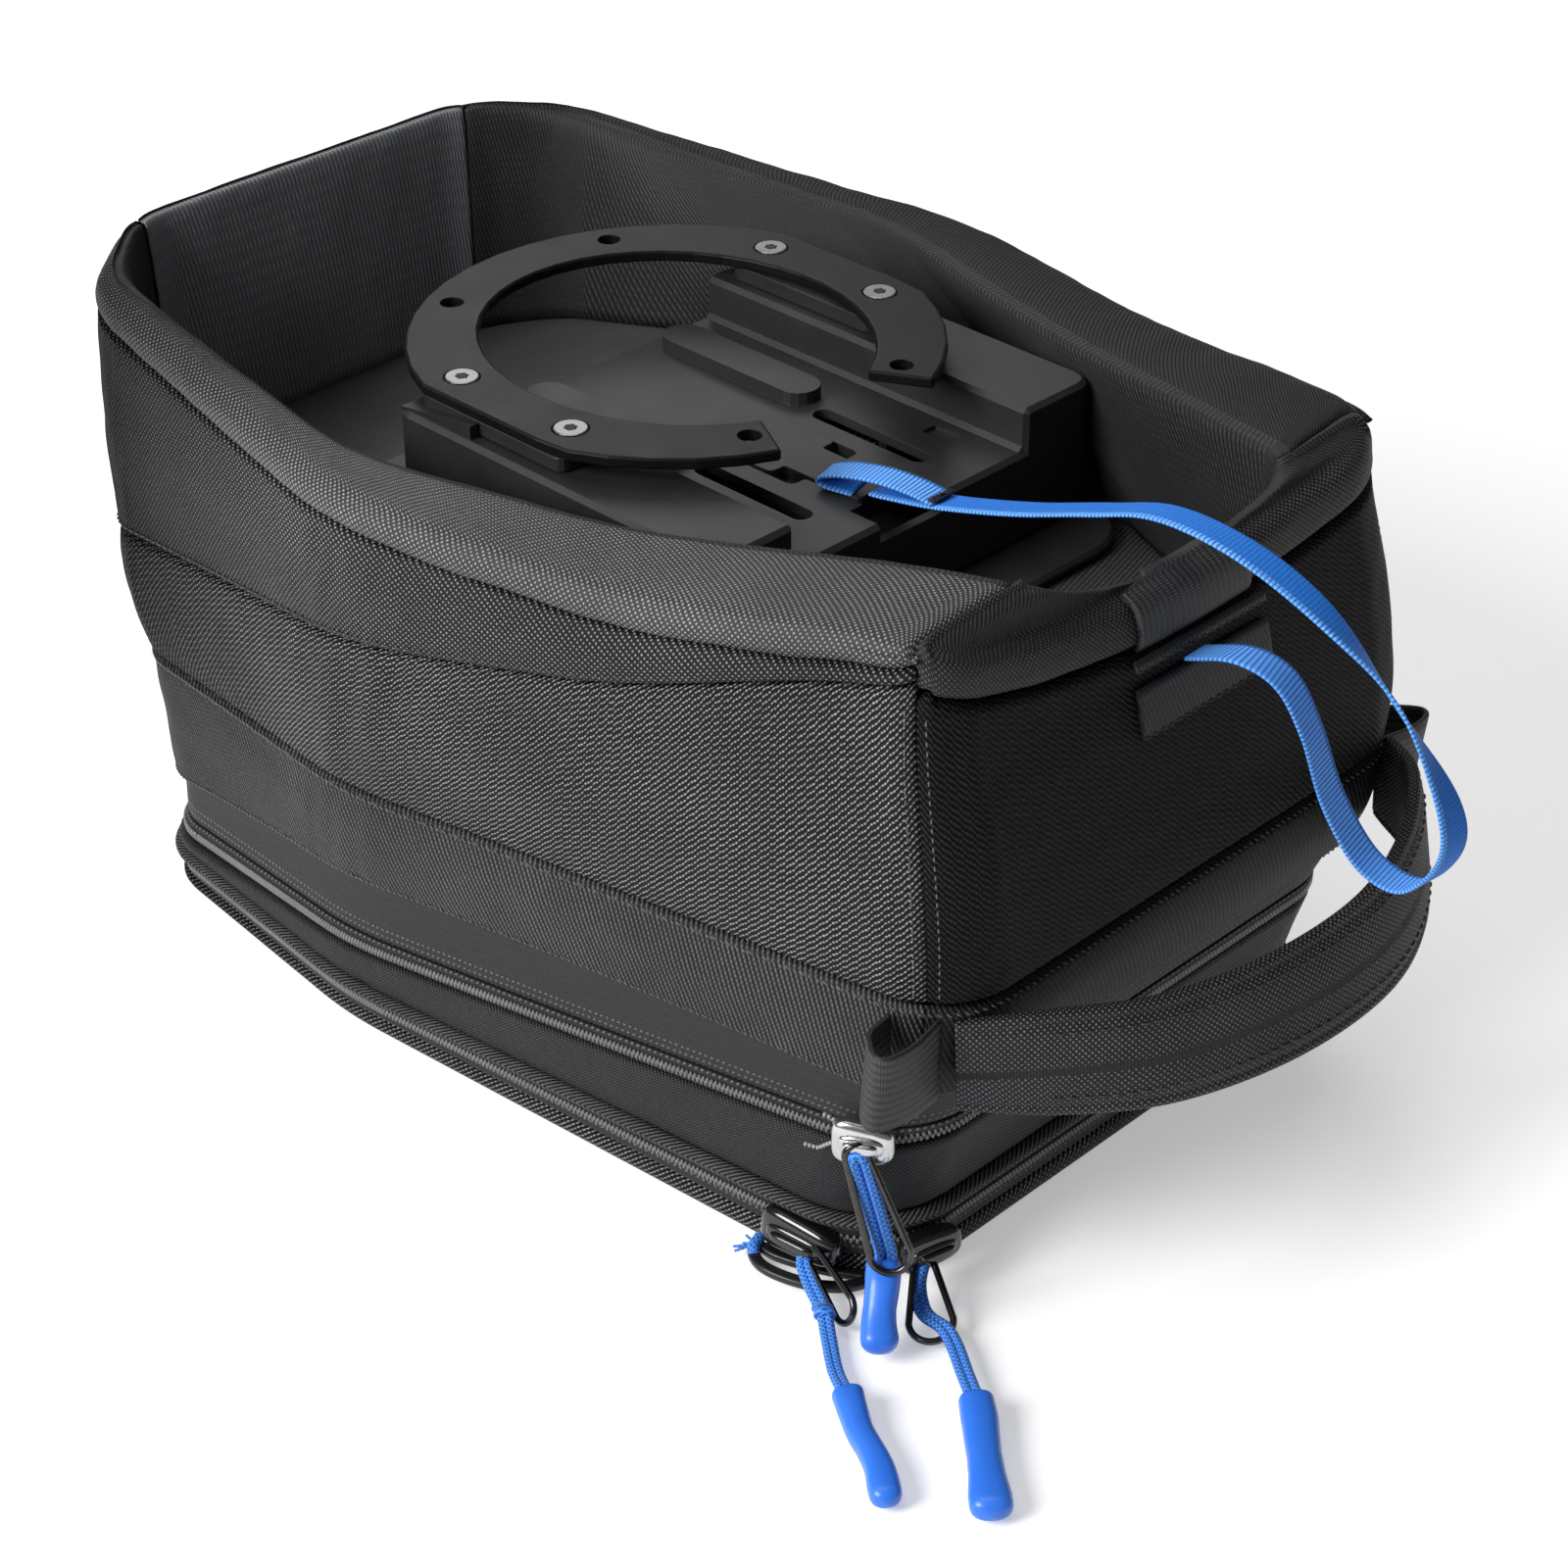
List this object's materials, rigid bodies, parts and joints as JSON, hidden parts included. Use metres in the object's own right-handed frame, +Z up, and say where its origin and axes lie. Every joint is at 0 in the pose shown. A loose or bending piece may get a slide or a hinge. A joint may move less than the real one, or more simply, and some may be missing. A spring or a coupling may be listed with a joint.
{
  "type": "expandable motorcycle tank bag",
  "caption": "Soft tank bag lying on its lid, with a ring quick lock in its recess, a zip-out expansion band, a carry handle and blue pulls",
  "frame": {"origin": "the middle of the lid's flat underside, on the surface that the bag lies on", "axes": "+X from the narrow front end to the handle end, +Z up from the lid to the tank recess, +Y across the bag"},
  "size_m": [0.4358, 0.2775, 0.2069],
  "materials": {
    "coarse_weave": "coarse black nylon weave",
    "fine_weave": "fine blue-black twill",
    "padded_lining": "smooth black lining over foam",
    "zip_tape": "black coil zip on woven tape",
    "webbing": "ribbed black webbing",
    "moulded_plastic": "fine-textured black moulding",
    "satin_black_ring": "satin black coated alloy",
    "zinc_steel": "bright zinc-plated steel",
    "black_slider": "gloss black enamel",
    "nickel_slider": "bright nickel",
    "gunmetal_wire": "dark polished wire",
    "blue_webbing": "blue ribbed tape",
    "blue_cord": "blue braided cord",
    "blue_rubber": "blue moulded rubber"
  },
  "bodies": {
    "lid": {"lid_panel": "coarse_weave", "lid_zip_lower": "zip_tape", "pocket_pull": "moulded_plastic", "pocket_cord": "blue_cord"},
    "zip_band": {"lid_zip_upper": "zip_tape", "zip_ridge": "fine_weave", "zip_band": "fine_weave", "expansion_zip_lower": "zip_tape", "expansion_gusset": "padded_lining"},
    "bag": {"expansion_zip_upper": "zip_tape", "zip_skirt": "fine_weave", "lower_band_near": "fine_weave", "lower_band_far": "fine_weave", "lower_band_front": "fine_weave", "lower_band_rear": "fine_weave", "near_panel": "coarse_weave", "far_panel": "coarse_weave", "front_panel": "coarse_weave", "rear_panel": "coarse_weave", "near_roll": "coarse_weave", "far_roll": "coarse_weave", "rear_roll": "coarse_weave", "recess_floor": "padded_lining", "base_plate": "moulded_plastic", "backing_plate": "moulded_plastic", "base_screw_1": "zinc_steel", "base_screw_2": "zinc_steel", "base_screw_3": "zinc_steel", "base_screw_4": "zinc_steel", "lock_housing": "moulded_plastic", "latch_spring_near": "zinc_steel", "latch_spring_far": "zinc_steel", "slot_patch": "fine_weave", "edge_patch": "webbing", "near_loop": "webbing", "far_loop": "webbing"},
    "tank_ring": {"tank_ring": "satin_black_ring", "guide_block_near": "moulded_plastic", "guide_block_far": "moulded_plastic", "ring_screw_1": "zinc_steel", "ring_screw_2": "zinc_steel", "ring_screw_3": "zinc_steel", "ring_screw_4": "zinc_steel"},
    "latch": {"latch_slide": "moulded_plastic", "release_ribbon": "blue_webbing"},
    "handle": {"carry_handle": "fine_weave"},
    "left_slider": {"left_slider": "black_slider"},
    "left_pull": {"left_wire": "gunmetal_wire", "left_cord": "blue_cord", "left_grip": "blue_rubber"},
    "rear_slider": {"rear_slider": "black_slider"},
    "rear_pull": {"rear_wire": "gunmetal_wire", "rear_cord": "blue_cord", "rear_grip": "blue_rubber"},
    "expansion_slider": {"expansion_slider": "nickel_slider"},
    "expansion_pull": {"expansion_wire": "gunmetal_wire", "expansion_cord": "blue_cord", "expansion_grip": "blue_rubber"}
  },
  "joints": [
    {"name": "lid_hinge", "type": "hinge", "parent": "lid", "child": "zip_band", "pos_m": [-0.161, 0, 0.00515], "axis": [0, -1, 0], "range_deg": [0, 75]},
    {"name": "expansion_hinge", "type": "hinge", "parent": "zip_band", "child": "bag", "pos_m": [-0.161, 0, 0.0185], "axis": [0, -1, 0], "range_deg": [0, 8.5]},
    {"name": "ring_lift", "type": "slide", "parent": "bag", "child": "tank_ring", "axis": [0, 0, 1], "range_m": [0, 0.045]},
    {"name": "latch_travel", "type": "slide", "parent": "bag", "child": "latch", "axis": [1, 0, 0], "range_m": [0, 0.008], "stiffness_N_per_m": 400, "springref_m": -0.005, "deforming": ["latch_spring_near", "latch_spring_far"]},
    {"name": "handle_swing", "type": "hinge", "parent": "bag", "child": "handle", "pos_m": [0.18079, 0, 0.0905], "axis": [0, -1, 0], "range_deg": [-25, 8]},
    {"name": "left_slider_travel", "type": "slide", "parent": "zip_band", "child": "left_slider", "axis": [-0.995, -0.0987, -0.0163], "range_m": [0, 0.085]},
    {"name": "left_pull_swing", "type": "hinge", "parent": "left_slider", "child": "left_pull", "pos_m": [0.1212, -0.10101, 0.01348], "axis": [0, 0, 1], "range_deg": [-70, 0]},
    {"name": "rear_slider_travel", "type": "slide", "parent": "zip_band", "child": "rear_slider", "axis": [0, 1, 0], "range_m": [0, 0.12]},
    {"name": "rear_pull_swing", "type": "hinge", "parent": "rear_slider", "child": "rear_pull", "pos_m": [0.16024, -0.06977, 0.01399], "axis": [0, 0, 1], "range_deg": [0, 60]},
    {"name": "expansion_slider_travel", "type": "slide", "parent": "bag", "child": "expansion_slider", "axis": [-0.9847, -0.1366, -0.1079], "range_m": [0, 0.11]},
    {"name": "expansion_pull_swing", "type": "hinge", "parent": "expansion_slider", "child": "expansion_pull", "pos_m": [0.14066, -0.10172, 0.05232], "axis": [-0.9905, -0.1374, 0], "range_deg": [0, 70]}
  ]
}
